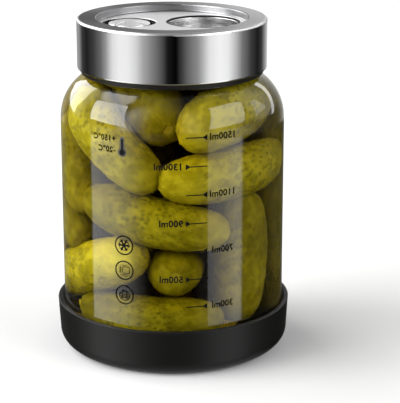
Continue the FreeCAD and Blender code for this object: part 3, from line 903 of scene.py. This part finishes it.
for knob_up in (1.5, 0.2, -1.1):
    draw("oven_knob", [disc(-2.4, knob_up, 0.62, 20), disc(-2.4, knob_up, 0.26, 20)], sign_turn, oven_up)
for line_at, half in ((2.9, 2.2), (-2.5, 2.6), (-3.3, 1.8)):
    draw("oven_line", [bar(-half, line_at, half, line_at, 0.3)], sign_turn, oven_up)
bowl_size, bowl_up, bowl_inside = 3.6, 0.2, 0.86
bowl = [(bowl_size * cos(radians(a)), bowl_up + bowl_size * sin(radians(a))) for a in range(180, 361, 12)]
inside = [(u * bowl_inside, bowl_up + (v - bowl_up) * bowl_inside) for u, v in reversed(bowl)]
draw("dish_bowl", [bowl + inside], sign_turn, dish_up)
for line_at, half in ((0.5, 3.6), (-0.6, 3.1), (-1.6, 2.4), (1.7, 2.6), (2.6, 1.6)):
    draw("dish_rack", [bar(-half, line_at, half, line_at, 0.62)], sign_turn, dish_up)
for line_at, foot, top in ((-1.3, -2.2, 2.9), (1.3, -2.2, 2.9), (-2.4, 0.4, 1.8)):
    draw("dish_rod", [bar(line_at, foot, line_at, top, 0.5)], sign_turn, dish_up)
marks = join(marks, "printed_marks")
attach(marks, "root")


# Lid shell: one sheet of steel pressed to a skirt, a raised ring and a sunk panel. The skirt is polished, the
# ring turned, its rounded outer edge and the panel satin. The panel's steel is painted paler as painted
# light, and the wall down to the panel painted darker as painted shade.
def turned_round(finish):
    """Lets the shine follow fine grooves that run round the jar's axis."""
    tree = finish.node_tree
    grooves = add_node(tree, "ShaderNodeTangent", direction_type="RADIAL", axis="Z")
    feed(tree, tree.nodes["Principled BSDF"].inputs["Tangent"], grooves.outputs[0])
    return finish


skirt_steel = new_finish("lid_skirt", (0.63, 0.63, 0.635), 0.07, Metallic=1.0)
ring_steel = turned_round(new_finish("lid_ring", (0.50, 0.50, 0.505), 0.18, Metallic=1.0, Anisotropic=0.95))
# the panel's pale steel is painted light
panel_steel = new_finish("lid_panel", (0.86, 0.86, 0.865), 0.5, Metallic=1.0)
# the dark wall down to the panel is painted shade
well_steel = new_finish("lid_well", (0.26, 0.26, 0.265), 0.3, Metallic=1.0)
edge_steel = new_finish("lid_edge", (0.62, 0.62, 0.625), 0.34, Metallic=1.0)
lid = cad["lid_shell"]
give_finish(lid, skirt_steel, ring_steel, panel_steel, well_steel, edge_steel)
on_ring, on_panel, on_well, on_edge = 1, 2, 3, 4
lid_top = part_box("lid_shell")[1].z
lies_flat, leans_out = 0.98, 0.1
ring_inside, edge_inside = 0.0435, 0.0480
well_inside, well_outside = 0.0425, 0.0446
ring_depth, edge_depth, well_depth, panel_depth = 0.002, 0.003, 0.005, 0.007
for face in lid.data.polygons:
    out = hypot(face.center.x, face.center.y)
    if face.normal.z > lies_flat and face.center.z > lid_top - ring_depth and out > ring_inside:
        face.material_index = on_ring
    elif face.normal.z > leans_out and face.center.z > lid_top - edge_depth and out > edge_inside:
        face.material_index = on_edge
    elif well_inside < out < well_outside and face.center.z > lid_top - well_depth:
        face.material_index = on_well
    elif out < well_outside and face.center.z > lid_top - panel_depth:
        face.material_index = on_panel
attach(lid, "root")


# Black parts of the lid: the moulded plastic screw sleeve with its seal, which shows below the steel skirt,
# and the moulded cup that is sunk into the panel under the vent.
black = new_finish("black_plastic", (0.006, 0.006, 0.006), 0.42, Specular_IOR_Level=0.3)
for name in ("lid_liner", "vent_cup"):
    part = cad[name]
    give_finish(part, black)
    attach(part, "root")


# Vent knob and plug dish, both steel. The knob is cast and has a satin face, its steel painted almost white
# as painted light. The dish is drawn, then turned a little smoother, and plugs the larger hole of the panel.
# the knob's near-white colour is painted light
knob_steel = new_finish("knob_cast", (0.98, 0.98, 0.98), 0.42, Metallic=1.0)
plug_steel = turned_round(new_finish("plug_drawn", (0.60, 0.60, 0.60), 0.22, Metallic=1.0, Anisotropic=0.8))
for name, finish, finish_slot in (
    ("vent_knob", knob_steel, "knob_steel"),
    ("plug_cup", plug_steel, "plug_steel"),
):
    part = cad[name]
    give_finish(part, finish)
    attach(part, "root")


# Silicone: the soft black cup that the jar stands in, moulded to the foot of the glass, and the black ring
# that seals the plug in its hole.
silicone = new_finish("black_silicone", (0.0045, 0.0042, 0.0038), 0.45, Specular_IOR_Level=0.22)
for name in ("base_cup", "plug_seal"):
    part = cad[name]
    give_finish(part, silicone)
    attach(part, "root")
